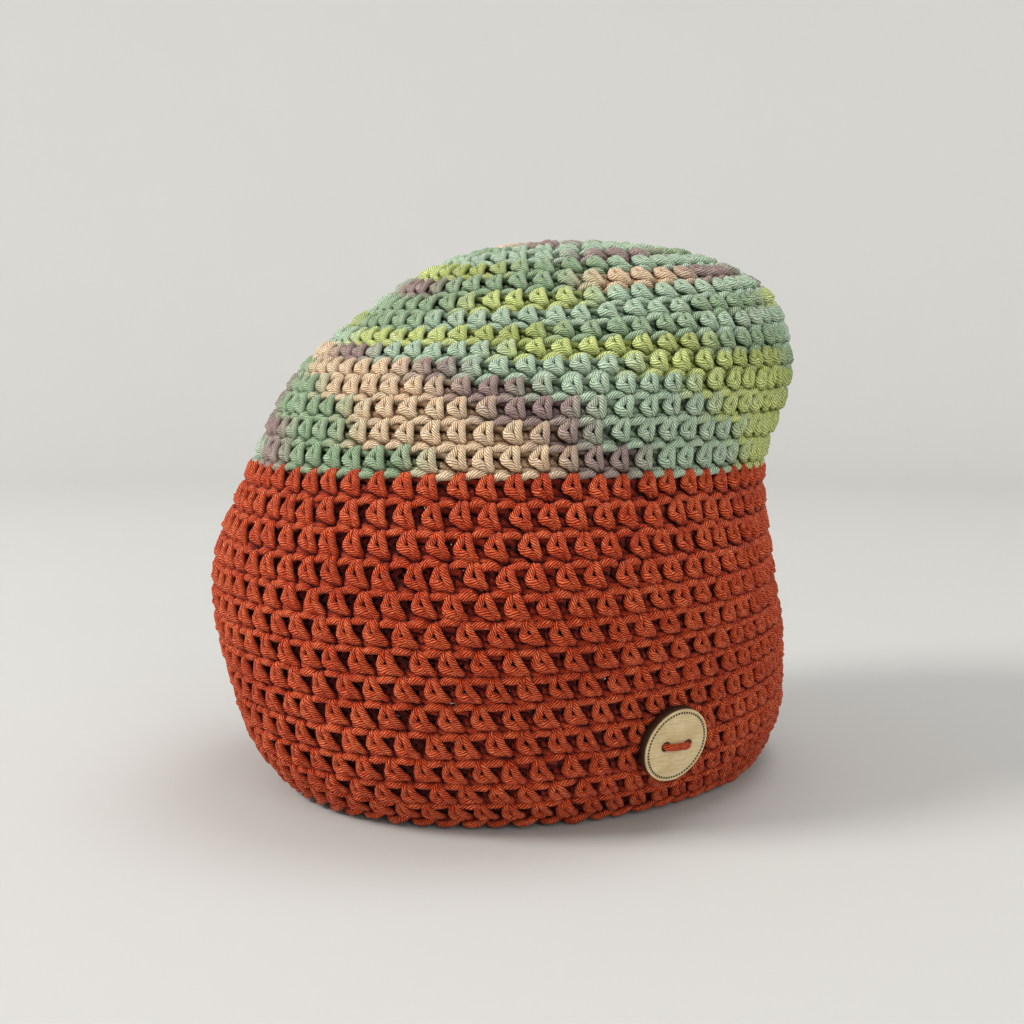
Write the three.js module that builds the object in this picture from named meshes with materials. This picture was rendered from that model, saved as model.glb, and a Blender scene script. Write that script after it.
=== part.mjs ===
// Crochet beanie with a rust body, a variegated crown and a wooden button.
// Millimetres, +Z up. The hat stands on its flat rim at z = 0, centred on its own box.
// The forehead faces -Y and the wearer's left side, which carries the button, faces +X.

import * as THREE from 'three';

// Wall
const WALL = 4.6;
const GAP = 0.3;
const SIDES = 64;
const SHORTEST_ROUND = 6.4;
const COLOUR_CHANGE_ROUND = 13;
const LAST_ROUND = 29;

// Outer surface of the wall: one oval section for each row, between which the wall runs smoothly.
// round counts crochet rounds up from the rim, centre is the oval's place along Y, height its
// place along Z, halfWidth and halfDepth are its half sizes, and tilt lifts its back, in degrees.
const SECTIONS = [
  { round: 0, centre: 11.1, height: 0.0, halfWidth: 79.0, halfDepth: 97.0, tilt: 0.0 },
  { round: 2, centre: 6.4, height: 16.1, halfWidth: 89.2, halfDepth: 103.9, tilt: 1.1 },
  { round: 5, centre: -0.7, height: 43.7, halfWidth: 95.4, halfDepth: 106.2, tilt: 1.2 },
  { round: 9, centre: -9.4, height: 78.0, halfWidth: 98.0, halfDepth: 100.0, tilt: 0.2 },
  { round: 13, centre: 0.3, height: 112.0, halfWidth: 88.6, halfDepth: 95.4, tilt: -1.0 },
  { round: 17, centre: 17.6, height: 144.0, halfWidth: 90.6, halfDepth: 90.0, tilt: 0.8 },
  { round: 21, centre: 29.6, height: 170.5, halfWidth: 74.0, halfDepth: 73.0, tilt: 5.0 },
  { round: 24, centre: 31.6, height: 184.5, halfWidth: 48.6, halfDepth: 48.0, tilt: 3.4 },
  { round: 27, centre: 31.6, height: 190.0, halfWidth: 19.6, halfDepth: 19.4, tilt: 1.0 },
  { round: 29, centre: 31.1, height: 190.8, halfWidth: 0.0, halfDepth: 0.0, tilt: 0.0 },
];

// Button, sewn on through two holes by one strand of the body's yarn
const BUTTON_ROUND = 3.45;
const BUTTON_ANGLE = 343.4;
const BUTTON_TURN = -5;
const BUTTON_DIAMETER = 24.6;
const BUTTON_THICKNESS = 3.4;
const HALF_CIRCLE_STEPS = 20;
const HOLE_DIAMETER = 3.0;
const HOLE_SPACING = 9.0;
const STRAND_DIAMETER = 2.1;
const STRAND_BEND = 1.5;
const STRAND_HALF_SIDES = 4;
const STRAND_STEPS = 28;
const STRAND_BEND_DROP = 0.1;

const RUST = new THREE.Color(0.58, 0.16, 0.06);
const SAGE = new THREE.Color(0.46, 0.62, 0.42);
const BIRCH = new THREE.Color(0.78, 0.66, 0.46);

// A section's value at any round, on a smooth curve through the table's column
function column(name, round) {
  const last = SECTIONS.length - 1;
  const step = (i) => SECTIONS[i + 1].round - SECTIONS[i].round;
  const rise = (i) => (SECTIONS[i + 1][name] - SECTIONS[i][name]) / step(i);
  const slope = (i) => {
    if (i === 0) return rise(0);
    if (i === last) return rise(last - 1);
    return (rise(i - 1) * step(i) + rise(i) * step(i - 1)) / (step(i - 1) + step(i));
  };
  let i = 0;
  while (i < last - 1 && round >= SECTIONS[i + 1].round) i += 1;
  const t = (round - SECTIONS[i].round) / step(i);
  const fromStart = 2 * t ** 3 - 3 * t ** 2 + 1;
  const values = SECTIONS[i][name] * fromStart + SECTIONS[i + 1][name] * (1 - fromStart);
  const slopes = slope(i) * (t ** 3 - 2 * t ** 2 + t) + slope(i + 1) * (t ** 3 - t ** 2);
  return values + step(i) * slopes;
}

// A point of the outer surface, at a round and an angle from +X towards +Y
function surfacePoint(round, angle) {
  const tilt = THREE.MathUtils.degToRad(column('tilt', round));
  const across = column('halfWidth', round) * Math.cos(angle);
  const along = column('halfDepth', round) * Math.sin(angle);
  return new THREE.Vector3(
    across,
    column('centre', round) + along * Math.cos(tilt),
    column('height', round) + along * Math.sin(tilt),
  );
}

// The surface's directions at a point: around the hat, up the wall and out of it
function surfaceFrame(round, angle) {
  const little = 0.01;
  const point = surfacePoint(round, angle);
  const around = surfacePoint(round, angle + little).sub(surfacePoint(round, angle - little));
  const above = Math.min(round + little, LAST_ROUND);
  const up = surfacePoint(above, angle).sub(surfacePoint(Math.max(above - 2 * little, 0), angle));
  around.normalize();
  const out = new THREE.Vector3().crossVectors(around, up).normalize();
  up.crossVectors(out, around);
  return { point, around, up, out };
}

const ANGLES = Array.from({ length: SIDES }, (_, i) => (2 * Math.PI * i) / SIDES);

function outerLoop(round) {
  return ANGLES.map((angle) => surfacePoint(round, angle));
}

// The inner face lies one wall thickness in, and at the rim it stays level with the outer one
function innerLoop(round) {
  return ANGLES.map((angle) => {
    const { point, out } = surfaceFrame(round, angle);
    if (round > 0) return point.addScaledVector(out, -WALL);
    const level = new THREE.Vector3(out.x, out.y, 0);
    return point.addScaledVector(level, -WALL / level.lengthSq());
  });
}

// Joins loops of points into one closed body; a loop of a single point closes it with a fan
function loft(loops, joinEnds) {
  const positions = loops.flat().flatMap((point) => [point.x, point.y, point.z]);
  const starts = [];
  let count = 0;
  for (const loop of loops) {
    starts.push(count);
    count += loop.length;
  }
  const triangles = [];
  const bands = joinEnds ? loops.length : loops.length - 1;
  for (let i = 0; i < bands; i += 1) {
    const next = (i + 1) % loops.length;
    const at = (loop, j) => starts[loop] + (j % loops[loop].length);
    for (let j = 0; j < SIDES; j += 1) {
      const corner = [at(i, j), at(i, j + 1), at(next, j + 1), at(next, j)];
      if (loops[i].length > 1) triangles.push(corner[0], corner[1], corner[2]);
      if (loops[next].length > 1) triangles.push(corner[0], corner[2], corner[3]);
    }
  }
  const geometry = new THREE.BufferGeometry();
  geometry.setAttribute('position', new THREE.Float32BufferAttribute(positions, 3));
  geometry.setIndex(triangles);
  geometry.computeVertexNormals();
  return geometry;
}

function namedMesh(name, geometry, color, roughness) {
  const material = new THREE.MeshStandardMaterial({ color, roughness, metalness: 0 });
  const mesh = new THREE.Mesh(geometry, material);
  mesh.name = name;
  return mesh;
}

// Half of the gap between the two yarns, in rounds, wide enough where the rounds are shortest
const HALF_GAP_ROUNDS = GAP / 2 / SHORTEST_ROUND;

// Rust wall, from the rim up to the change of yarn
function orangeBody() {
  const rounds = [];
  for (let round = 0; round < COLOUR_CHANGE_ROUND; round += 1) rounds.push(round);
  rounds.push(COLOUR_CHANGE_ROUND - HALF_GAP_ROUNDS);
  const outer = rounds.map(outerLoop);
  const inner = rounds.map(innerLoop).reverse();
  return namedMesh('orange_body', loft([...outer, ...inner], true), RUST, 0.9);
}

// Variegated wall, from the change of yarn to the closed top
function variegatedCrown() {
  const rounds = [COLOUR_CHANGE_ROUND + HALF_GAP_ROUNDS];
  for (let round = COLOUR_CHANGE_ROUND + 1; round < LAST_ROUND; round += 1) rounds.push(round);
  const top = surfacePoint(LAST_ROUND, 0);
  const ceiling = top.clone();
  ceiling.z -= WALL;
  const outer = [...rounds.map(outerLoop), [top]];
  const inner = [[ceiling], ...rounds.map(innerLoop).reverse()];
  const lowerEdge = outerLoop(rounds[0]);
  return namedMesh('variegated_crown', loft([...outer, ...inner, lowerEdge], false), SAGE, 0.9);
}

// Flat wooden disc with two holes
function button() {
  const outline = new THREE.Shape();
  outline.absarc(0, 0, BUTTON_DIAMETER / 2, 0, 2 * Math.PI, false);
  for (const side of [-1, 1]) {
    const hole = new THREE.Path();
    hole.absarc((side * HOLE_SPACING) / 2, 0, HOLE_DIAMETER / 2, 0, 2 * Math.PI, true);
    outline.holes.push(hole);
  }
  const settings = { depth: BUTTON_THICKNESS, bevelEnabled: false, curveSegments: HALF_CIRCLE_STEPS };
  return namedMesh('button', new THREE.ExtrudeGeometry(outline, settings), BIRCH, 0.6);
}

// The strand comes up through one hole, crosses the face and goes down through the other
function buttonYarn() {
  const leg = HOLE_SPACING / 2;
  const bendStart = BUTTON_THICKNESS - STRAND_BEND_DROP;
  const bendTop = bendStart + STRAND_BEND;
  const at = (x, z) => new THREE.Vector3(x, 0, z);
  const bend = (side) => new THREE.QuadraticBezierCurve3(
    at(side * leg, bendStart),
    at(side * leg, bendTop),
    at(side * (leg - STRAND_BEND), bendTop),
  );
  const lastBend = bend(1);
  const downBend = new THREE.QuadraticBezierCurve3(lastBend.v2, lastBend.v1, lastBend.v0);
  const route = new THREE.CurvePath();
  route.add(new THREE.LineCurve3(at(-leg, 0), at(-leg, bendStart)));
  route.add(bend(-1));
  route.add(new THREE.LineCurve3(at(-leg + STRAND_BEND, bendTop), at(leg - STRAND_BEND, bendTop)));
  route.add(downBend);
  route.add(new THREE.LineCurve3(at(leg, bendStart), at(leg, 0)));
  const section = new THREE.Shape();
  section.absarc(0, 0, STRAND_DIAMETER / 2, 0, 2 * Math.PI, false);
  const settings = { steps: STRAND_STEPS, curveSegments: STRAND_HALF_SIDES, extrudePath: route };
  return namedMesh('button_yarn', new THREE.ExtrudeGeometry(section, settings), RUST, 0.9);
}

// The button and its strand share one seat on the wall
function buttonOnItsSeat() {
  const angle = THREE.MathUtils.degToRad(BUTTON_ANGLE);
  const { point, around, up, out } = surfaceFrame(BUTTON_ROUND, angle);
  const seat = new THREE.Group();
  const basis = new THREE.Matrix4().makeBasis(around, up, out);
  seat.setRotationFromMatrix(basis);
  seat.rotateZ(THREE.MathUtils.degToRad(BUTTON_TURN));
  seat.position.copy(point.addScaledVector(out, GAP));
  seat.add(button(), buttonYarn());
  return seat;
}

const group = new THREE.Group();
group.add(orangeBody(), variegatedCrown(), buttonOnItsSeat());

export default group;
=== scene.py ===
# Crochet beanie in plied yarn. Every stitch is a real loop of yarn, and a wooden button is sewn on.
# Metres, +Z up. Names ending in _MM are millimetres.

import math

import bmesh
import bpy
import numpy as np
from mathutils import Matrix, Vector
from mathutils.geometry import delaunay_2d_cdt


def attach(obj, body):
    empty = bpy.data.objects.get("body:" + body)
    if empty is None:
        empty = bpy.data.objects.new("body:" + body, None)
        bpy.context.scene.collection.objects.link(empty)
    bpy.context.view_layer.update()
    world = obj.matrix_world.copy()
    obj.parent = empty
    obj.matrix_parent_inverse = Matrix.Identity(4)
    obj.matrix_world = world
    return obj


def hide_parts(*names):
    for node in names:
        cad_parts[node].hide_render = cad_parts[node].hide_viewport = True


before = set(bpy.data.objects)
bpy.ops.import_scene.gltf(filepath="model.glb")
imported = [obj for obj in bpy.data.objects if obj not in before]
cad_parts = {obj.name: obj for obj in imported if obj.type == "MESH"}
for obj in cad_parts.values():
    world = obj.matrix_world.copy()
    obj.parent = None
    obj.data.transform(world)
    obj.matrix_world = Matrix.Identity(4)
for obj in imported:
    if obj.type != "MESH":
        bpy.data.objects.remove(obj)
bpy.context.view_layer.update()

MM = 0.001
SEED = 7

# Wall, as the part has it, and how far in from its outer face the stitches' middle lies
WALL_MM = 4.6
MIDDLE_MM = WALL_MM / 2 + 0.4
COLOUR_CHANGE_ROUND = 13
LAST_ROUND = 29

# Outer surface of the wall: rows of round, centre, height, half width, half depth and tilt
SECTIONS = np.array([
    (0, 11.1, 0.0, 79.0, 97.0, 0.0),
    (2, 6.4, 16.1, 89.2, 103.9, 1.1),
    (5, -0.7, 43.7, 95.4, 106.2, 1.2),
    (9, -9.4, 78.0, 98.0, 100.0, 0.2),
    (13, 0.3, 112.0, 88.6, 95.4, -1.0),
    (17, 17.6, 144.0, 90.6, 90.0, 0.8),
    (21, 29.6, 170.5, 74.0, 73.0, 5.0),
    (24, 31.6, 184.5, 48.6, 48.0, 3.4),
    (27, 31.6, 190.0, 19.6, 19.4, 1.0),
    (29, 31.1, 190.8, 0.0, 0.0, 0.0),
])

# The rows of stitches lie a little higher than the wall's even rounds near the rim, where the
# last chain takes up room
STITCH_LEVELS = (-0.34, 1.0, 13.0, 29.0)
WALL_LEVELS = (0.03, 1.35, 13.0, 29.0)

# Stitches
BODY_STITCHES = 67
CROWN_PITCH_MM = 8.6
FEWEST_STITCHES = 6
COLUMN_SHIFT = 0.37
SEAM_SHARE = 0.25
TOP_HOLE_ROUNDS = 0.12
YARN_RADIUS_MM = 1.20
YARN_SIDES = 6
PLIES = 8
PLY_SPACING_MM = 0.92

# One stitch as the yarn runs, seen from outside: LEGS, then LINK to the next stitch, then BACK on
# the inside. The last round has RIM_LINK, which makes its chain edge, and RIM_BACK instead. Each
# row is the place across in pitches, the place down in round heights, the depth out of the wall's
# middle in mm, the share of the yarn's radius and the steps up to the next row.
LEGS = [
    (-0.04, 0.02, -0.70, 0.94, 1),
    (-0.09, 0.06, 0.60, 1.02, 2),
    (-0.15, 0.16, 1.20, 1.06, 1),
    (-0.19, 0.29, 1.25, 1.08, 1),
    (-0.24, 0.44, 1.25, 1.12, 2),
    (-0.19, 0.57, 1.55, 1.24, 2),
    (-0.05, 0.63, 1.65, 1.30, 2),
    (0.10, 0.71, 1.10, 1.12, 1),
    (0.28, 0.82, -0.10, 0.98, 1),
    (0.42, 0.84, -0.20, 0.94, 1),
    (0.36, 0.76, 0.85, 0.98, 2),
    (0.26, 0.60, 1.55, 1.02, 1),
    (0.17, 0.42, 1.80, 1.06, 1),
    (0.10, 0.24, 1.80, 1.06, 1),
    (0.06, 0.10, 1.35, 1.04, 2),
    (0.05, 0.02, 0.20, 1.00, 1),
    (0.14, 0.05, -0.90, 1.05, 1),
    (0.45, 0.11, -1.76, 1.38, 1),
    (0.19, 0.36, -2.00, 1.42, 1),
    (0.54, 0.51, -2.07, 1.46, 1),
]
LINK = [
    (0.03, 0.90, -2.10, 1.31, 1),
    (0.28, 1.09, -1.00, 0.98, 1),
    (0.42, 1.16, -0.60, 0.98, 1),
    (0.60, 1.07, 0.70, 1.04, 2),
    (0.80, 1.02, 1.30, 1.10, 2),
    (1.00, 1.02, 1.15, 1.08, 2),
    (1.16, 1.06, 0.20, 1.00, 1),
    (1.24, 1.05, -0.80, 0.98, 1),
    (1.14, 0.92, -0.90, 1.00, 1),
    (0.92, 0.86, 0.00, 1.02, 2),
    (0.68, 0.86, 0.10, 1.02, 1),
    (0.45, 0.57, -2.10, 1.18, 1),
]
RIM_LINK = [
    (0.14, 0.98, -1.40, 1.00, 1),
    (0.00, 1.16, -0.40, 1.00, 1),
    (0.08, 1.22, 0.70, 1.06, 2),
    (0.32, 1.18, 1.30, 1.12, 2),
    (0.60, 1.08, 1.30, 1.12, 2),
    (0.84, 0.97, 0.85, 1.08, 2),
    (0.98, 0.93, -0.10, 1.02, 1),
    (0.95, 1.14, -1.00, 1.12, 1),
    (0.72, 1.19, -0.70, 1.18, 2),
    (0.44, 1.06, -0.70, 1.16, 1),
    (0.34, 0.94, -1.50, 1.14, 1),
]
BACK = [
    (0.53, 0.59, -1.91, 1.38, 1),
    (1.08, 0.60, -1.55, 1.36, 1),
    (0.69, 0.24, -1.81, 1.38, 1),
    (1.00, 0.29, -1.86, 1.12, 1),
]
RIM_BACK = [
    (0.68, 0.84, -1.90, 1.42, 1),
    (1.10, 0.84, -1.80, 1.40, 1),
    (0.62, 0.56, -1.95, 1.42, 1),
    (0.28, 0.40, -1.90, 1.40, 1),
]

# Away from the front the fabric isn't stretched: these rows of a stitch, numbered from the first
# of LEGS, lie elsewhere there and close its opening
RELAXED = {
    2: (-0.14, 0.16, 1.15, 1.06),
    3: (-0.18, 0.29, 1.25, 1.10),
    4: (-0.23, 0.42, 1.25, 1.16),
    5: (-0.19, 0.56, 1.50, 1.28),
    17: (0.14, 0.14, -0.70, 1.36),
    18: (0.57, 0.18, -0.80, 1.40),
    19: (0.62, 0.47, -1.80, 1.20),
    20: (0.16, 0.42, -1.00, 1.06),
    31: (0.42, 0.76, -1.10, 1.12),
    32: (0.46, 0.56, -0.70, 1.34),
    33: (1.00, 0.76, -1.95, 1.28),
    34: (0.84, 0.21, -1.26, 1.42),
    35: (1.12, 0.15, -1.31, 1.24),
}

# The fabric is stretched fully between the middle two angles, in degrees, and not at all outside
# the outer two, and it is stretched less and less between the two rounds. A stitch is worked as
# stretched where that share is above its own random value, taken between the last two.
STRETCHED_ANGLES = (170, 200, 292, 312)
STRETCHED_ROUNDS = (10, 14)
STRETCHED_FROM_TO = (0.2, 0.8)

# How far a row and a whole stitch differ from the others, in the units of the rows' first four
POINT_JITTER = (0.013, 0.012, 0.09, 0.020)
STITCH_JITTER = (0.036, 0.031, 0.12, 0.038)


# Surface of the wall
def column(values, rounds):
    """A section's value at any round, on a smooth curve through the table's column."""
    knots = SECTIONS[:, 0]
    step = np.diff(knots)
    rise = np.diff(values) / step
    slope = np.empty(len(knots))
    slope[0], slope[-1] = rise[0], rise[-1]
    slope[1:-1] = (rise[:-1] * step[1:] + rise[1:] * step[:-1]) / (step[1:] + step[:-1])
    i = np.clip(np.searchsorted(knots, rounds, side="right") - 1, 0, len(step) - 1)
    t = (rounds - knots[i]) / step[i]
    start = 2 * t**3 - 3 * t**2 + 1
    curve = slope[i] * (t**3 - 2 * t**2 + t) + slope[i + 1] * (t**3 - t**2)
    return values[i] * start + values[i + 1] * (1 - start) + step[i] * curve


def surface(rounds, angles):
    """Points of the outer surface, in mm, at rounds and angles from +X towards +Y."""
    centre, height, width, depth, tilt = (column(SECTIONS[:, c], rounds) for c in range(1, 6))
    tilt = np.radians(tilt)
    along = depth * np.sin(angles)
    across = width * np.cos(angles)
    return np.stack([across, centre + along * np.cos(tilt), height + along * np.sin(tilt)], -1)


def outward(rounds, angles):
    """The surface's outward directions."""
    little = 0.02
    upper = np.minimum(rounds + little, LAST_ROUND - little)
    around = surface(upper, angles + little) - surface(upper, angles - little)
    up = surface(upper, angles) - surface(upper - 2 * little, angles)
    out = np.cross(around, up)
    return out / np.linalg.norm(out, axis=-1, keepdims=True)


FINE_ANGLES = np.linspace(0, 2 * np.pi, 721)


def ring_lengths(level):
    """Lengths along a level ring of the surface, from angle 0."""
    ring = surface(np.full(FINE_ANGLES.shape, float(level)), FINE_ANGLES)
    return np.concatenate([[0], np.cumsum(np.linalg.norm(np.diff(ring, axis=0), axis=1))])


RING_STEP = 0.5
RING_SHARES = [ring_lengths(level) for level in np.arange(0, LAST_ROUND, RING_STEP)]
RING_SHARES = [lengths / lengths[-1] for lengths in RING_SHARES]


def angle_at(rounds, shares):
    """The angle at a share of the way round by length, so that stitches are evenly spaced."""
    shares = shares + SEAM_SHARE
    whole = np.floor(shares)
    part = shares - whole
    place = np.clip(rounds / RING_STEP, 0, len(RING_SHARES) - 1.001)
    low = place.astype(int)
    found = np.empty(len(shares))
    for level in np.unique(low):
        here = low == level
        first = np.interp(part[here], RING_SHARES[level], FINE_ANGLES)
        second = np.interp(part[here], RING_SHARES[level + 1], FINE_ANGLES)
        found[here] = first + (second - first) * (place[here] - level)
    return found + 2 * np.pi * whole


def ring_length(level):
    """Length of the whole ring at a level, or of the smallest one just below the top."""
    return ring_lengths(min(level, LAST_ROUND - RING_STEP))[-1]


# Button: x along its holes, y up the wall and z out of it, from the middle of its back
BUTTON_ROUND = 3.45
BUTTON_ANGLE = math.radians(343.4)
BUTTON_TURN = math.radians(-5)
BUTTON_LIFT_MM = 0.3
BUTTON_RADIUS_MM = 12.3
BUTTON_THICKNESS_MM = 3.4
BUTTON_EDGE_MM = 0.22
HOLE_RADIUS_MM = 1.5
HOLE_PLACE_MM = 4.5
HOLE_EDGE_MM = 0.14
STRAND_RADIUS_MM = 1.12
STRAND_HEIGHT_MM = 2.0

# Burnt marks on its face: a ring of dashes, and scorch round the holes. Each fades out between two
# distances, from the middle of the dashes and from the edge of a hole.
DASH_RING_MM = 11.15
DASH_COUNT = 66
DASH_FADE_MM = (0.27, 0.42)
SCORCH_FADE_MM = (0.05, 0.5)


def button_seat():
    """The button's place on the wall, as a matrix in mm."""
    at, angle = np.array([BUTTON_ROUND]), np.array([BUTTON_ANGLE])
    out = outward(at, angle)[0]
    around = (surface(at, angle + 0.01) - surface(at, angle - 0.01))[0]
    around /= np.linalg.norm(around)
    up = np.cross(out, around)
    place = surface(at, angle)[0] + out * BUTTON_LIFT_MM
    seat = np.eye(4)
    seat[:3, 0], seat[:3, 1], seat[:3, 2], seat[:3, 3] = around, up, out, place
    return Matrix(seat.tolist()) @ Matrix.Rotation(BUTTON_TURN, 4, "Z")


BUTTON_SEAT = np.array(button_seat())

# The yarn gives way under the button within this radius, and less and less around it
PRESSED_RADIUS_MM = 12.7
PRESSED_EDGE_MM = 6
PRESSED_SLOPE = 0.9
PRESSED_GAP_MM = 0.08


def pressed(line, radii):
    """The yarn's centreline held below the button's back and above the floor."""
    axes, origin = BUTTON_SEAT[:3, :3], BUTTON_SEAT[:3, 3]
    seen = (line - origin) @ axes
    far = np.hypot(seen[:, 0], seen[:, 1])
    limit = (far - PRESSED_RADIUS_MM).clip(0) * PRESSED_SLOPE - radii - PRESSED_GAP_MM
    above = np.where(far < PRESSED_RADIUS_MM + PRESSED_EDGE_MM, (seen[:, 2] - limit).clip(0), 0)
    line = line - above[:, None] * axes[:, 2]
    line[:, 2] = np.maximum(line[:, 2], radii)
    return line


# Yarn
def smooth_loop(points, steps):
    """Points on a smooth closed curve, with each control point's own number of steps."""
    after, later, before = (np.roll(points, n, 0) for n in (-1, -2, 1))
    start = (after - before) / 2
    end = (later - points) / 2
    index = np.concatenate([i + np.arange(n) / n for i, n in enumerate(steps)])
    i = index.astype(int)
    t = (index - i)[:, None]
    near = 2 * t**3 - 3 * t**2 + 1
    line = points[i] * near + after[i] * (1 - near)
    return line + start[i] * (t**3 - 2 * t**2 + t) + end[i] * (t**3 - t**2), index


def stretched(k, shares):
    """How stretched the fabric is, 1 at the front and 0 at the button and on the crown."""
    angles = np.degrees(angle_at(np.full(len(shares), k + 0.5), shares)) % 360
    first, full, last, end = STRETCHED_ANGLES
    around = np.interp(angles, (first, full, last, end), (0, 1, 1, 0))
    return around * np.interp(k, STRETCHED_ROUNDS, (1, 0))


def stitches(k, count, shift, rng):
    """A round's rows of control points, one stitch after the other, each stretched or relaxed."""
    rows = np.array(LEGS + (RIM_LINK + RIM_BACK if k == 0 else LINK + BACK))
    relaxed = rows.copy()
    for row, values in RELAXED.items():
        if k > 0 or row < len(LEGS):
            relaxed[row, :4] = values
    middles = (np.arange(count) + 0.5) / count + shift
    chosen = (stretched(k, middles) > rng.uniform(*STRETCHED_FROM_TO, count))[:, None, None]
    return np.where(chosen, rows, relaxed).reshape(-1, rows.shape[1]), len(rows)


def round_of_yarn(k, count, shift, rng):
    """One round's closed loop of yarn: line and radii in mm, shares of the way round, and depth."""
    table, rows = stitches(k, count, shift, rng)
    stitch = np.repeat(np.arange(count), rows)
    steps = table[:, 4].astype(int)
    points = table[:, :4] + rng.normal(0, 1, (len(table), 4)) * POINT_JITTER
    points += (rng.normal(0, 1, (count, 4)) * STITCH_JITTER)[stitch]
    # The curve is closed in the plane of one stitch, then spread out along the round
    spread = np.arange(len(points)) * count / len(points)
    points[:, 0] += stitch - spread
    fine, index = smooth_loop(points, steps)
    across = fine[:, 0] + index * count / len(points)
    level = k + 1 - fine[:, 1]
    rounds = np.interp(level, STITCH_LEVELS, WALL_LEVELS)
    rounds = np.clip(rounds, 0.0, LAST_ROUND - TOP_HOLE_ROUNDS)
    shares = across / count + shift
    angles = angle_at(rounds, shares)
    out = outward(rounds, angles)
    line = surface(rounds, angles) + out * (fine[:, 2:3] - MIDDLE_MM)
    radii = fine[:, 3] * YARN_RADIUS_MM
    return pressed(line, radii), radii, shares, out, fine[:, 2]


def heights(line, vertices, out, middle):
    """How far the yarn's surface lies out of the wall's middle, in mm, at every vertex."""
    sides = len(vertices) // len(line)
    away = vertices - np.repeat(line, sides, axis=0)
    return (away * np.repeat(out, sides, axis=0)).sum(1) + np.repeat(middle, sides)


def carried_along(tangent):
    """Directions across a line that follow its bends and don't twist by themselves."""
    across = np.empty_like(tangent)
    x, y, z = np.cross(tangent[0], (0.31, 0.52, 0.79))
    for i, (a, b, c) in enumerate(tangent.tolist()):
        dot = x * a + y * b + z * c
        x, y, z = x - dot * a, y - dot * b, z - dot * c
        size = math.sqrt(x * x + y * y + z * z)
        x, y, z = x / size, y / size, z / size
        across[i] = x, y, z
    return across


def tube(line, radii, sides, closed):
    """A tube round a centreline: vertices, quads and a yarn map."""
    count = len(line)
    if closed:
        tangent = np.roll(line, -1, 0) - np.roll(line, 1, 0)
        ahead = np.roll(line, -1, 0) - line
    else:
        tangent = np.gradient(line, axis=0)
        ahead = np.diff(line, axis=0)
    tangent /= np.linalg.norm(tangent, axis=1, keepdims=True)
    across = carried_along(tangent)
    other = np.cross(tangent, across)
    lengths = np.concatenate([[0], np.cumsum(np.linalg.norm(ahead, axis=1))])
    turn = np.zeros(count)
    if closed:
        last = across[-1] - tangent[0] * (across[-1] @ tangent[0])
        turn = -math.atan2(last @ other[0], last @ across[0]) * np.arange(count) / count
        # A whole number of turns of the plies, so that they meet at the seam
        twist = PLIES * PLY_SPACING_MM
        lengths *= round(lengths[-1] / twist) * twist / lengths[-1]
    angle = 2 * np.pi * np.arange(sides) / sides + turn[:, None]
    ring = np.cos(angle)[..., None] * across[:, None] + np.sin(angle)[..., None] * other[:, None]
    vertices = (line[:, None] + ring * radii[:, None, None]).reshape(-1, 3)
    i, j = (a.ravel() for a in np.meshgrid(np.arange(len(ahead)), np.arange(sides), indexing="ij"))
    after, beside = (i + 1) % count, (j + 1) % sides
    quads = np.stack([i * sides + j, i * sides + beside, after * sides + beside, after * sides + j], 1)
    along = np.stack([lengths[i], lengths[i], lengths[i + 1], lengths[i + 1]], 1)
    around = np.stack([j, j + 1, j + 1, j], 1) / sides
    return vertices, quads, np.stack([along, around], -1)


STRIP_GAP = 0.06
STRIP_END = 0.004


def strips(yarn_map):
    """A second map that lays the yarn out in strips that don't overlap, to fill a square."""
    total = yarn_map[:, :, 0].max()
    circumference = 2 * math.pi * YARN_RADIUS_MM
    count = max(1, round(math.sqrt(total / circumference)))
    strip_length = total / count * 1.0001
    middle = yarn_map[:, :, 0].mean(1)
    strip = np.floor(middle / strip_length)
    u = (yarn_map[:, :, 0] - strip[:, None] * strip_length) / strip_length
    u = STRIP_END + np.clip(u, 0, 1) * (1 - 2 * STRIP_END)
    v = STRIP_GAP + yarn_map[:, :, 1] * (1 - 2 * STRIP_GAP)
    return np.stack([u, (strip[:, None] + v) / count], -1)


def yarn_mesh(name, tubes, depths, tints, material):
    """One mesh from several tubes, with its maps and the yarn's height and colour at every vertex."""
    vertices, quads, maps, start, length = [], [], [], 0, 0.0
    for v, q, m in tubes:
        vertices.append(v)
        quads.append(q + start)
        maps.append(m + (length, 0))
        start += len(v)
        length += m[:, :, 0].max()
    vertices = np.concatenate(vertices) * MM
    quads, maps = np.concatenate(quads), np.concatenate(maps)
    mesh = bpy.data.meshes.new(name)
    mesh.vertices.add(len(vertices))
    mesh.vertices.foreach_set("co", vertices.astype(np.float32).ravel())
    mesh.loops.add(quads.size)
    mesh.loops.foreach_set("vertex_index", quads.astype(np.int32).ravel())
    mesh.polygons.add(len(quads))
    mesh.polygons.foreach_set("loop_start", np.arange(0, quads.size, 4, dtype=np.int32))
    mesh.polygons.foreach_set("use_smooth", np.ones(len(quads), bool))
    mesh.update(calc_edges=True)
    for layer_name, values in (("OFBake", strips(maps)), ("yarn", maps)):
        layer = mesh.uv_layers.new(name=layer_name)
        layer.uv.foreach_set("vector", values.astype(np.float32).ravel())
    attribute = mesh.attributes.new("height", "FLOAT", "POINT")
    attribute.data.foreach_set("value", np.concatenate(depths).astype(np.float32))
    if tints is not None:
        attribute = mesh.attributes.new("tint", "FLOAT_COLOR", "POINT")
        attribute.data.foreach_set("color", np.concatenate(tints).astype(np.float32).ravel())
    mesh.materials.append(material)
    return add(name, mesh)


def add(name, data):
    """A new object in the scene."""
    piece = bpy.data.objects.new(name, data)
    bpy.context.scene.collection.objects.link(piece)
    return piece


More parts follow.
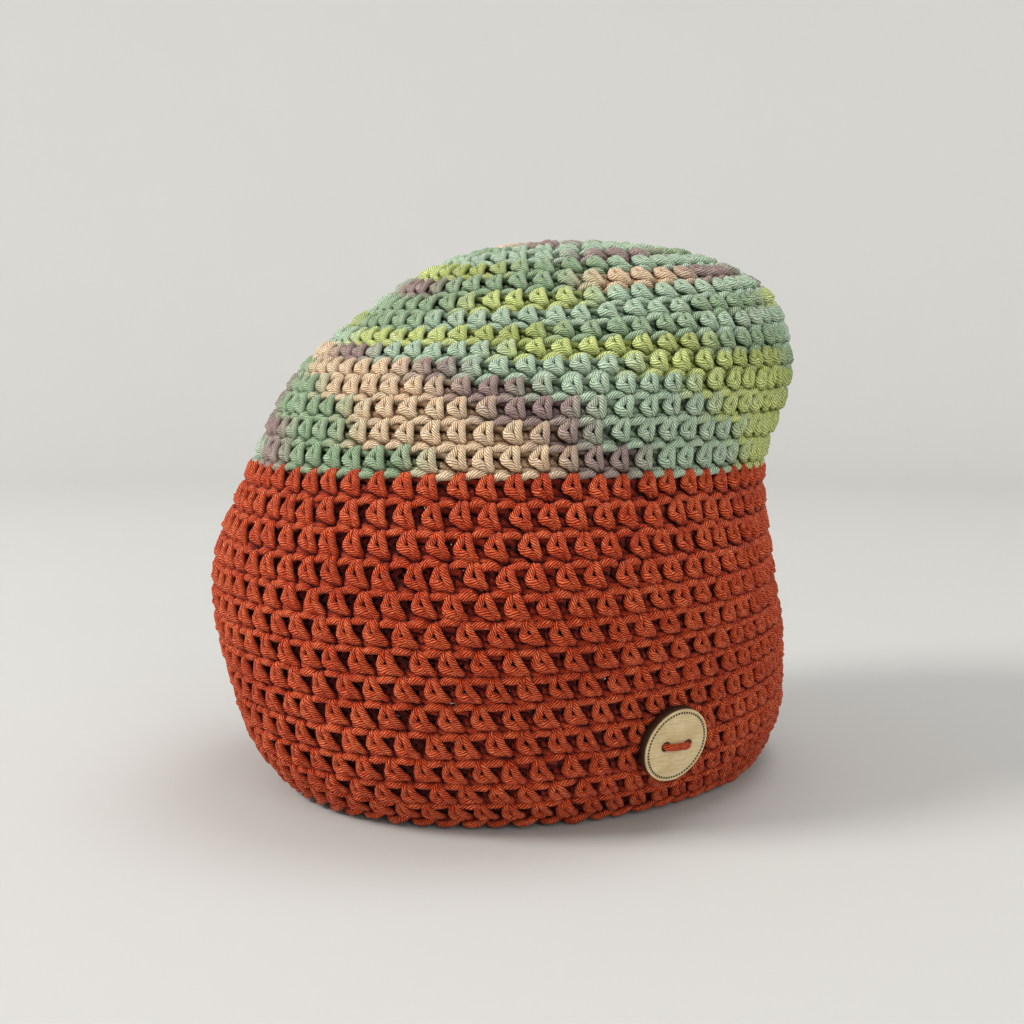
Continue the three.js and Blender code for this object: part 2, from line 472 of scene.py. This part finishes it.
def belongs(piece, node):
    """Hangs a piece on the root and hides the part that it stands for."""
    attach(piece, "root")
    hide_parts(node)


# Materials
def srgb(red, green, blue):
    """A colour as it looks on a screen, 0 to 255, made linear."""
    values = [c / 255 for c in (red, green, blue)]
    return tuple(v / 12.92 if v < 0.04 else ((v + 0.055) / 1.055) ** 2.4 for v in values) + (1.0,)


class Shader:
    """Short names for making and joining a material's nodes."""

    def __init__(self, name):
        self.material = bpy.data.materials.new(name)
        self.material.use_nodes = True
        self.tree = self.material.node_tree
        self.surface = self.tree.nodes["Principled BSDF"]

    def node(self, kind, **settings):
        made = self.tree.nodes.new(kind)
        for key, value in settings.items():
            setattr(made, key, value)
        return made

    def put(self, socket, value):
        if isinstance(value, bpy.types.NodeSocket):
            self.tree.links.new(value, socket)
        else:
            socket.default_value = value

    def math(self, operation, *values):
        made = self.node("ShaderNodeMath", operation=operation)
        for socket, value in zip(made.inputs, values):
            self.put(socket, value)
        return made.outputs[0]

    def range(self, value, *limits):
        made = self.node("ShaderNodeMapRange")
        for socket, limit in zip(made.inputs[:5], (value, *limits)):
            self.put(socket, limit)
        return made.outputs[0]

    def ramp(self, value, stops, smooth=False):
        made = self.node("ShaderNodeValToRGB")
        made.color_ramp.interpolation = "EASE" if smooth else "LINEAR"
        self.put(made.inputs[0], value)
        elements = made.color_ramp.elements
        while len(elements) < len(stops):
            elements.new(0.5)
        for element, (place, colour) in zip(elements, stops):
            element.position = place
            element.color = colour
        return made.outputs[0]

    def mix(self, share, first, second, blend="MIX"):
        made = self.node("ShaderNodeMix", data_type="RGBA", blend_type=blend)
        for place, value in ((0, share), (6, first), (7, second)):
            self.put(made.inputs[place], value)
        return made.outputs[2]

    def scaled(self, colour, factor):
        made = self.node("ShaderNodeVectorMath", operation="SCALE")
        self.put(made.inputs[0], colour)
        self.put(made.inputs["Scale"], factor)
        return made.outputs[0]

    def distance(self, x, y):
        squares = [self.math("MULTIPLY", value, value) for value in (x, y)]
        return self.math("SQRT", self.math("ADD", *squares))

    def noise(self, vector, scale, detail=2.0):
        made = self.node("ShaderNodeTexNoise")
        self.put(made.inputs["Vector"], vector)
        made.inputs["Scale"].default_value = scale
        made.inputs["Detail"].default_value = detail
        return made.outputs[0]

    def vector(self, x, y, z=0.0):
        made = self.node("ShaderNodeCombineXYZ")
        for socket, value in zip(made.inputs, (x, y, z)):
            self.put(socket, value)
        return made.outputs[0]

    def split(self, vector):
        made = self.node("ShaderNodeSeparateXYZ")
        self.put(made.inputs[0], vector)
        return made.outputs

    def position(self):
        return self.node("ShaderNodeTexCoord").outputs["Object"]

    def bump(self, height, strength, distance):
        made = self.node("ShaderNodeBump")
        made.inputs["Strength"].default_value = strength
        made.inputs["Distance"].default_value = distance
        self.put(made.inputs["Height"], height)
        self.put(self.surface.inputs["Normal"], made.outputs[0])


# Length round the yarn, for its fibres, and the depth of its grooves
YARN_ROUND_MM = 7.7
YARN_BUMP_MM = 0.29

# Painted shade: yarn in the core of the wall is coloured darker and richer than at its two faces
WALL_CORE_MM = -0.4
UNSHADED_FROM_TO_MM = (0.3, 2.3)
RUST_CORE_SHADE = srgb(92, 10, 2)
CORE_SHADE_SHARE = 0.38
# Painted shade in the plies' grooves and along their sides, the rust itself, and a painted highlight on
# the plies' tops
RUST_GROOVE_SHADE, RUST_HALF_SHADE = srgb(80, 7, 2), srgb(154, 32, 6)
RUST, RUST_HIGHLIGHT = srgb(213, 74, 23), srgb(246, 141, 90)
CREAM, MAUVE, MINT = srgb(240, 208, 172), srgb(164, 138, 134), srgb(186, 210, 182)
SAGE, LIME, OLIVE = srgb(156, 182, 144), srgb(210, 222, 136), srgb(184, 196, 112)
CROWN_PALE = srgb(226, 226, 200)
WOOD_DARK, WOOD, WOOD_PALE = srgb(186, 161, 114), srgb(205, 184, 139), srgb(220, 202, 162)
# Burnt colours; the black also paints the shade at the back of the button's edge
BURNT_AND_SHADE_BLACK, BURNT_DARK, BURNT_BROWN = srgb(24, 12, 6), srgb(50, 28, 12), srgb(96, 62, 30)


def yarn_material(name, colours):
    """Plied yarn: twisted plies with fine fibres along them, painted shade in the grooves between them,
    a painted highlight on their tops, and painted shade deeper in the wall.
    """
    s = Shader(name)
    along, around, _ = s.split(s.node("ShaderNodeUVMap", uv_map="yarn").outputs[0])
    wander = s.range(s.noise(s.position(), 900.0), 0.3, 0.7, -0.16, 0.16)
    cross = s.math("ADD", s.math("MULTIPLY", around, PLIES), s.math("DIVIDE", along, PLY_SPACING_MM))
    cross = s.math("ADD", cross, wander)
    ply = s.math("ABSOLUTE", s.math("SINE", s.math("MULTIPLY", cross, math.pi)))
    run = s.math("SUBTRACT", along, s.math("MULTIPLY", around, YARN_ROUND_MM))
    fibres = s.noise(s.vector(s.math("MULTIPLY", cross, 4.0), s.math("MULTIPLY", run, 0.5)), 1.0, 3.0)
    blotches = s.noise(s.position(), 420.0)
    # Painted shade and highlight: lit is low in the grooves between the plies and high on their tops;
    # fibres and blotches vary the tone
    lit = s.math("MULTIPLY", s.range(ply, 0.12, 0.92, 0.0, 1.0), s.range(fibres, 0.34, 0.66, 0.55, 1.0))
    lit = s.math("ADD", lit, s.range(blotches, 0.3, 0.7, -0.12, 0.12))
    # Painted shade: yarn near the wall's core is darkened, by its height out of the wall's middle
    height = s.node("ShaderNodeAttribute", attribute_name="height").outputs["Fac"]
    outer = s.math("ABSOLUTE", s.math("SUBTRACT", height, WALL_CORE_MM))
    unshaded = s.range(outer, *UNSHADED_FROM_TO_MM, 0.0, 1.0)
    s.put(s.surface.inputs["Base Color"], colours(s, lit, unshaded))
    s.surface.inputs["Roughness"].default_value = 0.7
    s.surface.inputs["Specular IOR Level"].default_value = 0.18
    s.surface.inputs["Sheen Weight"].default_value = 0.05
    s.surface.inputs["Sheen Roughness"].default_value = 0.5
    s.bump(s.math("ADD", ply, s.math("MULTIPLY", fibres, 0.6)), 1.0, YARN_BUMP_MM * MM)
    return s.material


def rust_colours(s, lit, unshaded):
    """Painted shade in deep red between the plies and inside the wall, and a painted highlight, paler
    and more orange, on the plies' tops.
    """
    spots = s.noise(s.position(), 55.0)
    tone = s.math("ADD", lit, s.range(spots, 0.3, 0.7, -0.07, 0.07))
    # Painted shade: darker towards the core of the wall, and at last the core's shade colour
    tone = s.math("MULTIPLY", tone, s.range(unshaded, 0.0, 1.0, 0.55, 1.0))
    # Painted shade in the grooves, the plain rust on the plies and a painted highlight on their tops
    yarn = s.ramp(tone, [(0.0, RUST_GROOVE_SHADE), (0.36, RUST_HALF_SHADE), (0.68, RUST), (1.0, RUST_HIGHLIGHT)])
    return s.mix(s.range(unshaded, 0.0, 0.7, 0.0, 1.0), RUST_CORE_SHADE, yarn)


def crown_colours(s, lit, unshaded):
    """The yarn's colour at each place, with painted shade between the plies and inside the wall and a
    painted highlight on the plies' tops.
    """
    colour = s.node("ShaderNodeAttribute", attribute_name="tint").outputs["Color"]
    # Painted shade inside the wall: the colour multiplied by itself and darkened
    core_shade = s.scaled(s.mix(1.0, colour, colour, "MULTIPLY"), CORE_SHADE_SHARE)
    pale = s.range(s.noise(s.position(), 150.0), 0.42, 0.72, 0.0, 0.22)
    colour = s.mix(pale, colour, CROWN_PALE)
    # Painted shade between the plies and a painted highlight on their tops: the colour darkened and
    # brightened by lit
    full = s.scaled(colour, s.range(lit, 0.0, 1.0, 0.26, 1.34))
    return s.mix(s.range(unshaded, 0.0, 0.85, 0.0, 1.0), core_shade, full)


# Colours of the crown's yarn in turn, with their lengths in mm. The first one begins at this
# round and share of the way round.
COLOUR_ORDER = [
    (LIME, 48), (OLIVE, 26), (SAGE, 44), (MINT, 96), (SAGE, 44), (LIME, 40), (MINT, 92),
    (MAUVE, 26), (SAGE, 48), (CREAM, 52), (MAUVE, 24), (MINT, 52),
]
COLOUR_START = (16, 0.683)
COLOUR_BLEND_MM = 16.0
COLOUR_JITTER_MM = 5.0
COLOUR_BEFORE_MM = 500
COLOUR_UNTIL_MM = 8000


def yarn_place(k, shares):
    """How much of the way round by length, in mm, the crown's yarn has gone from the top."""
    start = sum(ring_length(j + 0.5) for j in range(k + 1, LAST_ROUND))
    return start + shares * ring_length(k + 0.5)


def colour_sections(rng):
    """Where each colour ends along the crown's yarn, and the colours."""
    lengths = [length for _, length in COLOUR_ORDER]
    place = yarn_place(*COLOUR_START)
    place -= sum(lengths) * math.ceil((place + COLOUR_BEFORE_MM) / sum(lengths))
    ends, colours = [], []
    while place < COLOUR_UNTIL_MM:
        for colour, length in COLOUR_ORDER:
            place += length
            ends.append(place + rng.normal(0, COLOUR_JITTER_MM))
            colours.append(colour)
    return np.array(ends), np.array(colours)


def crown_tints(k, shares, sections):
    """The yarn's colour along a round, blended where one colour gives way to the next."""
    ends, colours = sections
    place = yarn_place(k, shares)
    i = np.clip(np.searchsorted(ends, place), 1, len(ends) - 1)
    share = np.clip((place - ends[i - 1]) / COLOUR_BLEND_MM, 0, 1)[:, None]
    return colours[i - 1] * (1 - share) + colours[i] * share


# Pieces
def stitch_count(k):
    """How many stitches a round has."""
    if k < COLOUR_CHANGE_ROUND:
        return BODY_STITCHES
    return max(FEWEST_STITCHES, min(BODY_STITCHES, round(ring_length(k + 0.5) / CROWN_PITCH_MM)))


YARN_PIECES = [(0, 4), (4, 9), (9, 13), (13, 17), (17, 22), (22, 29)]
BODY_NAMES = ("rust", "orange_body", "rust_yarn")
CROWN_NAMES = ("variegated", "variegated_crown", "variegated_yarn")


def make_walls():
    """All rounds of yarn, joined in a few pieces; gives back the rust yarn's material."""
    rng = np.random.default_rng(SEED)
    rust = yarn_material("rust_yarn", rust_colours)
    variegated = yarn_material("variegated_yarn", crown_colours)
    sections = colour_sections(rng)
    tubes, depths, tints, shift = [], [], [], 0.0
    for k in range(LAST_ROUND):
        count = stitch_count(k)
        line, radii, shares, out, middle = round_of_yarn(k, count, shift, rng)
        tubes.append(tube(line, radii, YARN_SIDES, True))
        depths.append(heights(line, tubes[-1][0], out, middle))
        tints.append(np.repeat(crown_tints(k, shares, sections), YARN_SIDES, axis=0))
        shift -= COLUMN_SHIFT / count
    for first, last in YARN_PIECES:
        body = first < COLOUR_CHANGE_ROUND
        kind, node, slot = BODY_NAMES if body else CROWN_NAMES
        colours = None if body else tints[first:last]
        material = rust if body else variegated
        name = f"{kind}_rounds_{first + 1}_to_{last}"
        piece = yarn_mesh(name, tubes[first:last], depths[first:last], colours, material)
        belongs(piece, node)
    return rust


# Button
def circle(radius, centre, sides):
    """Points of a circle whose middle lies on the x axis."""
    turns = [2 * math.pi * i / sides for i in range(sides)]
    return [(centre + radius * math.cos(turn), radius * math.sin(turn)) for turn in turns]


# Rings of the button's edge and holes: radius, middle, sides, and how far the ring of its faces
# lies out from it
BUTTON_SIDES, HOLE_SIDES = 120, 40
BUTTON_RINGS = [
    (BUTTON_RADIUS_MM, 0.0, BUTTON_SIDES, -BUTTON_EDGE_MM),
    (HOLE_RADIUS_MM, -HOLE_PLACE_MM, HOLE_SIDES, HOLE_EDGE_MM),
    (HOLE_RADIUS_MM, HOLE_PLACE_MM, HOLE_SIDES, HOLE_EDGE_MM),
]
# The faces have this many circles of points inside, each with so many more points than the last
FACE_CIRCLES = 10
FACE_CIRCLE_SIDES = 8


def on_face(place):
    """Whether a point of the button's plane lies on its face and in none of its holes."""
    holes = min((place - Vector((side * HOLE_PLACE_MM, 0))).length for side in (-1, 1))
    return place.length < BUTTON_RADIUS_MM - BUTTON_EDGE_MM and holes > HOLE_RADIUS_MM


def button_face(mesh, z, front):
    """One flat face with its two holes, in small triangles."""
    points, edges = [], []
    for radius, centre, sides, edge in BUTTON_RINGS:
        start = len(points)
        points += circle(radius + edge, centre, sides)
        edges += [(start + i, start + (i + 1) % sides) for i in range(sides)]
    for step in range(1, FACE_CIRCLES + 1):
        points += circle(step * BUTTON_RADIUS_MM / (FACE_CIRCLES + 1), 0.0, step * FACE_CIRCLE_SIDES)
    flat, _, faces, *_ = delaunay_2d_cdt([Vector(p) for p in points], edges, [], 0, 1e-5)
    made = [mesh.verts.new((x, y, z)) for x, y in flat]
    for face in faces:
        middle = sum((flat[i] for i in face), Vector((0, 0))) / len(face)
        if on_face(middle):
            corners = [made[i] for i in face]
            mesh.faces.new(corners if front else corners[::-1])
    bmesh.ops.delete(mesh, geom=[v for v in made if not v.link_faces], context="VERTS")


def button_wall(mesh, radius, centre, sides, edge):
    """The wall of the disc or of a hole, slightly rounded where it meets the faces."""
    size = abs(edge)
    levels = [(radius + edge, 0.0), (radius + edge * 0.3, size * 0.3), (radius, size)]
    levels += [(radius, BUTTON_THICKNESS_MM / 2)]
    levels += [(r, BUTTON_THICKNESS_MM - z) for r, z in levels[-2::-1]]
    loops = [[mesh.verts.new((x, y, z)) for x, y in circle(r, centre, sides)] for r, z in levels]
    for low, high in zip(loops, loops[1:]):
        for i in range(sides):
            j = (i + 1) % sides
            corners = (low[i], low[j], high[j], high[i])
            mesh.faces.new(corners if edge < 0 else corners[::-1]).smooth = True


def button_mesh():
    """A flat disc with two holes; the edges of its faces and holes are slightly rounded."""
    mesh = bmesh.new()
    button_face(mesh, BUTTON_THICKNESS_MM, True)
    button_face(mesh, 0.0, False)
    for ring in BUTTON_RINGS:
        button_wall(mesh, *ring)
    bmesh.ops.remove_doubles(mesh, verts=mesh.verts, dist=1e-3)
    bmesh.ops.scale(mesh, vec=(MM, MM, MM), verts=mesh.verts)
    data = bpy.data.meshes.new("wooden_button")
    mesh.to_mesh(data)
    mesh.free()
    return data


def button_material():
    """Pale birch with fine grain, a ring of burnt dashes, burnt holes, and a burnt edge with painted
    shade that darkens it towards the back.
    """
    s = Shader("birch")
    x, y, z = (s.math("DIVIDE", v, MM) for v in s.split(s.position()))
    grain = s.noise(s.vector(s.math("MULTIPLY", x, 0.25), s.math("MULTIPLY", y, 2.6), z), 1.0, 4.0)
    patches = s.noise(s.vector(x, y, z), 0.22)
    wood = s.ramp(s.math("ADD", s.math("MULTIPLY", grain, 0.6), s.math("MULTIPLY", patches, 0.4)),
                  [(0.32, WOOD_DARK), (0.5, WOOD), (0.68, WOOD_PALE)])
    radius = s.distance(x, y)
    turn = s.math("DIVIDE", s.math("ARCTAN2", y, x), 2 * math.pi)
    dash = s.math("ABSOLUTE", s.math("SINE", s.math("MULTIPLY", turn, math.pi * DASH_COUNT)))
    wander = s.range(s.noise(s.vector(x, y, z), 1.6), 0.3, 0.7, -0.12, 0.12)
    from_ring = s.math("ABSOLUTE", s.math("SUBTRACT", radius, DASH_RING_MM))
    ring = s.range(from_ring, *DASH_FADE_MM, 1.0, 0.0)
    dashes = s.math("MULTIPLY", ring, s.range(s.math("ADD", dash, wander), 0.42, 0.62, 0.0, 1.0))
    face = s.range(z, BUTTON_THICKNESS_MM - 0.5, BUTTON_THICKNESS_MM - 0.12, 0.0, 1.0)
    hole = s.distance(s.math("SUBTRACT", s.math("ABSOLUTE", x), HOLE_PLACE_MM), y)
    from_hole = s.math("SUBTRACT", s.math("ADD", hole, wander), HOLE_RADIUS_MM)
    scorch = s.range(from_hole, *SCORCH_FADE_MM, 1.0, 0.0)
    # The burnt edge with painted shade: brown by the face and black at the back, against the wall
    burnt_edge_and_shade = s.ramp(s.math("ADD", s.math("DIVIDE", z, BUTTON_THICKNESS_MM), wander),
                   [(0.1, BURNT_AND_SHADE_BLACK), (0.6, BURNT_DARK), (0.95, BURNT_BROWN)])
    marked = s.mix(s.math("MAXIMUM", dashes, s.math("MULTIPLY", scorch, 0.9)), wood, BURNT_AND_SHADE_BLACK)
    s.put(s.surface.inputs["Base Color"], s.mix(face, burnt_edge_and_shade, marked))
    s.surface.inputs["Roughness"].default_value = 0.55
    s.surface.inputs["Specular IOR Level"].default_value = 0.35
    height = s.math("SUBTRACT", s.math("MULTIPLY", grain, 0.12), s.math("MULTIPLY", dashes, face))
    s.bump(height, 0.8, 0.25 * MM)
    return s.material


# The strand goes up through one hole, over the button and down through the other
STRAND_TOP_MM = BUTTON_THICKNESS_MM + 0.9
STRAND_HALF_ROUTE_MM = [
    (HOLE_PLACE_MM, 0.0, -1.2),
    (HOLE_PLACE_MM, 0.0, 1.2),
    (HOLE_PLACE_MM + 0.05, 0.0, 2.8),
    (HOLE_PLACE_MM - 0.35, 0.0, STRAND_TOP_MM - 0.25),
    (2.6, 0.05, STRAND_TOP_MM + 0.2),
]
STRAND_MIDDLE_MM = (0.0, 0.1, STRAND_TOP_MM + 0.35)
STRAND_POINTS = 81
STRAND_SIDES = 14
STRAND_SMOOTHINGS = 12
STRAND_END_SHARE = 1 / 50


def strand_line():
    """The strand's centreline, in mm, at the button's place on the wall."""
    left = [(-x, y, z) for x, y, z in STRAND_HALF_ROUTE_MM]
    route = np.array(left + [STRAND_MIDDLE_MM] + STRAND_HALF_ROUTE_MM[::-1])
    knots = np.linspace(0, 1, len(route))
    places = np.linspace(0, 1, STRAND_POINTS)
    line = np.stack([np.interp(places, knots, route[:, i]) for i in range(3)], -1)
    for _ in range(STRAND_SMOOTHINGS):
        line[1:-1] = (line[:-2] + 2 * line[1:-1] + line[2:]) / 4
    return line @ BUTTON_SEAT[:3, :3].T + BUTTON_SEAT[:3, 3]


def make_button(rust):
    data = button_mesh()
    data.materials.append(button_material())
    piece = add("wooden_button", data)
    piece.matrix_world = Matrix.Scale(MM, 4) @ button_seat() @ Matrix.Scale(1 / MM, 4)
    belongs(piece, "button")
    line = strand_line()
    radii = np.full(len(line), STRAND_RADIUS_MM)
    radii[[0, -1]] *= STRAND_END_SHARE
    made = tube(line, radii, STRAND_SIDES, False)
    heights_mm = np.full(len(made[0]), STRAND_HEIGHT_MM)
    strand = yarn_mesh("button_strand", [made], [heights_mm], None, rust)
    belongs(strand, "button_yarn")


# Studio
STAGE_FLAT = 1.3
STAGE_BEND = 0.9
STAGE_TOP = 2.4
STAGE_SIDES = 96
STAGE_BEND_STEPS = 16
# Paper near the hat, in painted shade, and far from it
PAPER_SHADED_NEAR, PAPER_FAR = (0.56, 0.554, 0.535, 1), (0.71, 0.703, 0.682, 1)


def paper_material():
    """Pale paper with painted shade: a little darker under and round the hat than far from it."""
    s = Shader("pale_paper")
    away = s.node("ShaderNodeVectorMath", operation="LENGTH")
    s.put(away.inputs[0], s.position())
    shade = s.range(away.outputs["Value"], 0.4, 2.4, 0.0, 1.0)
    shade = s.math("ADD", shade, s.range(s.noise(s.position(), 4.0), 0.3, 0.7, -0.02, 0.02))
    s.put(s.surface.inputs["Base Color"], s.ramp(shade, [(0.0, PAPER_SHADED_NEAR), (1.0, PAPER_FAR)]))
    s.surface.inputs["Roughness"].default_value = 0.9
    s.surface.inputs["Specular IOR Level"].default_value = 0.1
    return s.material


def make_stage():
    """A round pale floor that curves up into a wall, so that no edge shows from any side."""
    profile = [(STAGE_FLAT, 0.0)]
    for i in range(1, STAGE_BEND_STEPS + 1):
        a = math.pi / 2 * i / STAGE_BEND_STEPS
        profile.append((STAGE_FLAT + STAGE_BEND * math.sin(a), STAGE_BEND * (1 - math.cos(a))))
    profile.append((STAGE_FLAT + STAGE_BEND, STAGE_TOP))
    vertices = [(0, 0, 0)]
    for radius, height in profile:
        vertices += [(x, y, height) for x, y in circle(radius, 0, STAGE_SIDES)]
    faces = [(0, 1 + i, 1 + (i + 1) % STAGE_SIDES) for i in range(STAGE_SIDES)]
    for ring in range(len(profile) - 1):
        low, high = 1 + ring * STAGE_SIDES, 1 + (ring + 1) * STAGE_SIDES
        for i in range(STAGE_SIDES):
            j = (i + 1) % STAGE_SIDES
            faces.append((low + i, high + i, high + j, low + j))
    mesh = bpy.data.meshes.new("studio_floor")
    mesh.from_pydata(vertices, [], faces)
    mesh.polygons.foreach_set("use_smooth", [True] * len(faces))
    mesh.materials.append(paper_material())
    add("studio_floor", mesh)


# Soft lamps: name, place, size, power and colour
LAMPS = [
    ("key", (-0.99, -1.57, 1.52), 0.88, 40.0, (1.0, 0.985, 0.96)),
    ("fill", (1.60, -0.90, 0.90), 1.2, 8.5, (1.0, 1.0, 1.0)),
    ("top", (0.15, 0.45, 1.75), 1.1, 10.0, (1.0, 1.0, 1.0)),
]
LAMPS_AIM = Vector((0, 0, 0.09))
SKY_COLOUR = (0.96, 0.98, 1.0, 1)
SKY_STRENGTH = 0.52


def make_light():
    for name, place, size, power, colour in LAMPS:
        data = bpy.data.lights.new(name, "AREA")
        data.shape, data.size, data.energy, data.color = "DISK", size, power, colour
        lamp = add(name, data)
        lamp.location = place
        aim = LAMPS_AIM - Vector(place)
        lamp.rotation_euler = aim.to_track_quat("-Z", "Y").to_euler()
    world = bpy.data.worlds.new("studio")
    world.use_nodes = True
    background = world.node_tree.nodes["Background"]
    background.inputs["Color"].default_value = SKY_COLOUR
    background.inputs["Strength"].default_value = SKY_STRENGTH
    bpy.context.scene.world = world
    bpy.context.scene.view_settings.view_transform = "Standard"


CAMERA_AZIMUTH = math.radians(41.2)
CAMERA_ELEVATION = math.radians(6.0)
CAMERA_DISTANCE = 0.51
CAMERA_TARGET = Vector((0.0, 0.0, 0.092))
CAMERA_LENS = 49.2


def make_camera():
    """A camera in front of the hat, turned towards the side with the button."""
    level = math.cos(CAMERA_ELEVATION)
    across, along = math.sin(CAMERA_AZIMUTH) * level, -math.cos(CAMERA_AZIMUTH) * level
    back = Vector((across, along, math.sin(CAMERA_ELEVATION)))
    data = bpy.data.cameras.new("camera")
    data.lens = CAMERA_LENS
    data.clip_start = 0.01
    camera = add("camera", data)
    camera.location = CAMERA_TARGET + back * CAMERA_DISTANCE
    camera.rotation_mode = "QUATERNION"
    camera.rotation_quaternion = (-back).to_track_quat("-Z", "Y")
    bpy.context.scene.camera = camera


make_camera()
make_stage()
make_light()
make_button(make_walls())
